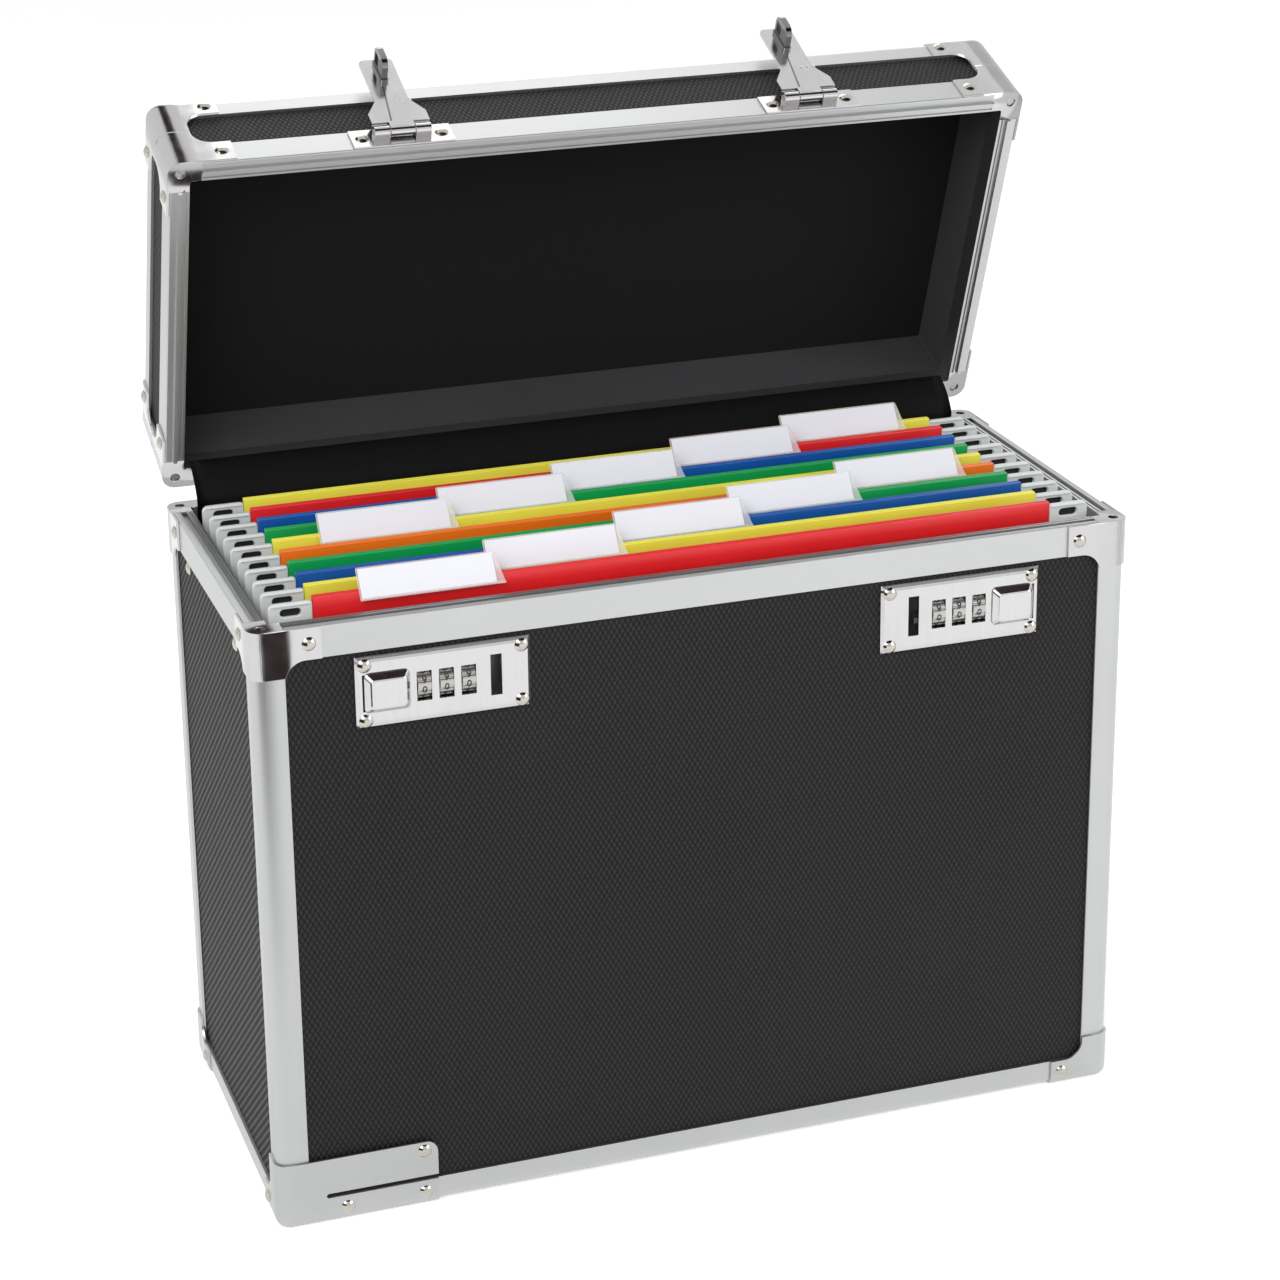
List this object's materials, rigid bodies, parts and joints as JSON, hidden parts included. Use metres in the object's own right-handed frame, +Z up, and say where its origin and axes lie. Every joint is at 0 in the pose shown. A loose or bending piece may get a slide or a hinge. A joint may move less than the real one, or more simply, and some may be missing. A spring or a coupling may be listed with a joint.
{
  "type": "portable file box",
  "caption": "Portable aluminium-framed file box with a hinged lid, hasps, combination locks, a lid handle and coloured hanging files for papers and keepsakes.",
  "frame": {"origin": "middle of the base panel's underside", "axes": "X along the width with the left lock at -X, Y from the front to the back, Z up"},
  "size_m": [0.3716, 0.2104, 0.4462],
  "materials": {
    "aluminium": "satin anodised extrusion",
    "chrome": "bright plated pressed steel",
    "steel": "plain plated steel",
    "dial_metal": "plated dials with knurled edges",
    "panel_black": "black sheet embossed with fine diamonds",
    "lining_dark": "dark flock lining",
    "grip_black": "fine grained grip",
    "file_red": "smooth coloured plastic",
    "file_yellow": "smooth coloured plastic",
    "file_blue": "smooth coloured plastic",
    "file_green": "smooth coloured plastic",
    "file_orange": "smooth coloured plastic"
  },
  "bodies": {
    "box": {"front_panel": "panel_black", "rear_panel": "panel_black", "side_panels": "panel_black", "base_panel": "panel_black", "body_lining": "lining_dark", "corner_posts": "aluminium", "base_rails": "aluminium", "rim_rails": "aluminium", "rim_corner_caps": "chrome", "base_corner_caps": "chrome", "plate_corner_cap": "chrome", "file_rails": "aluminium", "lock_plates": "chrome", "lock_cases": "steel", "dial_axles": "steel", "hinge_body_leaves": "steel", "hinge_pins": "steel", "hinge_cover": "lining_dark", "body_rivets": "chrome"},
    "lid": {"hinge_lid_leaves": "steel", "lid_top_panel": "panel_black", "lid_front_panel": "panel_black", "lid_rear_panel": "panel_black", "lid_end_panels": "panel_black", "lid_lining": "lining_dark", "lid_corner_posts": "aluminium", "lid_top_rails": "aluminium", "lid_rim_rails": "aluminium", "lid_rim_corner_caps": "chrome", "lid_top_corner_caps": "chrome", "hasp_bases": "chrome", "hasp_pins": "steel", "handle_brackets": "chrome", "lid_rivets": "chrome"},
    "handle": {"handle_grip": "grip_black"},
    "left_hasp": {"left_hasp": "chrome", "left_hasp_hook": "steel"},
    "left_lock_button": {"left_lock_button": "chrome", "left_lock_bolt": "steel"},
    "left_dial_1": {"left_dial_1": "dial_metal"},
    "left_dial_2": {"left_dial_2": "dial_metal"},
    "left_dial_3": {"left_dial_3": "dial_metal"},
    "right_hasp": {"right_hasp": "chrome", "right_hasp_hook": "steel"},
    "right_lock_button": {"right_lock_button": "chrome", "right_lock_bolt": "steel"},
    "right_dial_1": {"right_dial_1": "dial_metal"},
    "right_dial_2": {"right_dial_2": "dial_metal"},
    "right_dial_3": {"right_dial_3": "dial_metal"},
    "file_01_red": {"file_01_red": "file_red"},
    "file_02_yellow": {"file_02_yellow": "file_yellow"},
    "file_03_blue": {"file_03_blue": "file_blue"},
    "file_04_green": {"file_04_green": "file_green"},
    "file_05_orange": {"file_05_orange": "file_orange"},
    "file_06_yellow": {"file_06_yellow": "file_yellow"},
    "file_07_green": {"file_07_green": "file_green"},
    "file_08_blue": {"file_08_blue": "file_blue"},
    "file_09_red": {"file_09_red": "file_red"},
    "file_10_yellow": {"file_10_yellow": "file_yellow"}
  },
  "joints": [
    {"name": "lid_hinge", "type": "hinge", "parent": "box", "child": "lid", "pos_m": [0, 0.086, 0.25625], "axis": [-1, 0, 0], "range_deg": [-70, 25], "deforming": ["hinge_cover"]},
    {"name": "handle_hinge", "type": "hinge", "parent": "lid", "child": "handle", "pos_m": [0, 0.09953, 0.37185], "axis": [1, 0, 0], "range_deg": [0, 90]},
    {"name": "left_hasp_hinge", "type": "hinge", "parent": "lid", "child": "left_hasp", "pos_m": [-0.088, 0.0344, 0.41774], "axis": [-1, 0, 0], "range_deg": [-176, 0]},
    {"name": "left_button_slide", "type": "slide", "parent": "box", "child": "left_lock_button", "axis": [-1, 0, 0], "range_m": [0, 0.003], "stiffness_N_per_m": 200},
    {"name": "left_dial_1_turn", "type": "hinge", "parent": "box", "child": "left_dial_1", "pos_m": [-0.1169, -0.0751, 0.226], "axis": [1, 0, 0], "continuous": true},
    {"name": "left_dial_2_turn", "type": "hinge", "parent": "box", "child": "left_dial_2", "pos_m": [-0.108, -0.0751, 0.226], "axis": [1, 0, 0], "continuous": true},
    {"name": "left_dial_3_turn", "type": "hinge", "parent": "box", "child": "left_dial_3", "pos_m": [-0.0991, -0.0751, 0.226], "axis": [1, 0, 0], "continuous": true},
    {"name": "right_hasp_hinge", "type": "hinge", "parent": "lid", "child": "right_hasp", "pos_m": [0.088, 0.0344, 0.41774], "axis": [-1, 0, 0], "range_deg": [-176, 0]},
    {"name": "right_button_slide", "type": "slide", "parent": "box", "child": "right_lock_button", "axis": [1, 0, 0], "range_m": [0, 0.003], "stiffness_N_per_m": 200},
    {"name": "right_dial_1_turn", "type": "hinge", "parent": "box", "child": "right_dial_1", "pos_m": [0.0991, -0.0751, 0.226], "axis": [1, 0, 0], "continuous": true},
    {"name": "right_dial_2_turn", "type": "hinge", "parent": "box", "child": "right_dial_2", "pos_m": [0.108, -0.0751, 0.226], "axis": [1, 0, 0], "continuous": true},
    {"name": "right_dial_3_turn", "type": "hinge", "parent": "box", "child": "right_dial_3", "pos_m": [0.1169, -0.0751, 0.226], "axis": [1, 0, 0], "continuous": true},
    {"name": "file_01_slide", "type": "slide", "parent": "box", "child": "file_01_red", "axis": [0, 1, 0], "range_m": [-0.0025, 0.0025]},
    {"name": "file_02_slide", "type": "slide", "parent": "box", "child": "file_02_yellow", "axis": [0, 1, 0], "range_m": [-0.0025, 0.0025]},
    {"name": "file_03_slide", "type": "slide", "parent": "box", "child": "file_03_blue", "axis": [0, 1, 0], "range_m": [-0.0025, 0.0025]},
    {"name": "file_04_slide", "type": "slide", "parent": "box", "child": "file_04_green", "axis": [0, 1, 0], "range_m": [-0.0025, 0.0025]},
    {"name": "file_05_slide", "type": "slide", "parent": "box", "child": "file_05_orange", "axis": [0, 1, 0], "range_m": [-0.0025, 0.0025]},
    {"name": "file_06_slide", "type": "slide", "parent": "box", "child": "file_06_yellow", "axis": [0, 1, 0], "range_m": [-0.0025, 0.0025]},
    {"name": "file_07_slide", "type": "slide", "parent": "box", "child": "file_07_green", "axis": [0, 1, 0], "range_m": [-0.0025, 0.0025]},
    {"name": "file_08_slide", "type": "slide", "parent": "box", "child": "file_08_blue", "axis": [0, 1, 0], "range_m": [-0.0025, 0.0025]},
    {"name": "file_09_slide", "type": "slide", "parent": "box", "child": "file_09_red", "axis": [0, 1, 0], "range_m": [-0.0025, 0.0025]},
    {"name": "file_10_slide", "type": "slide", "parent": "box", "child": "file_10_yellow", "axis": [0, 1, 0], "range_m": [-0.0025, 0.0025]}
  ]
}
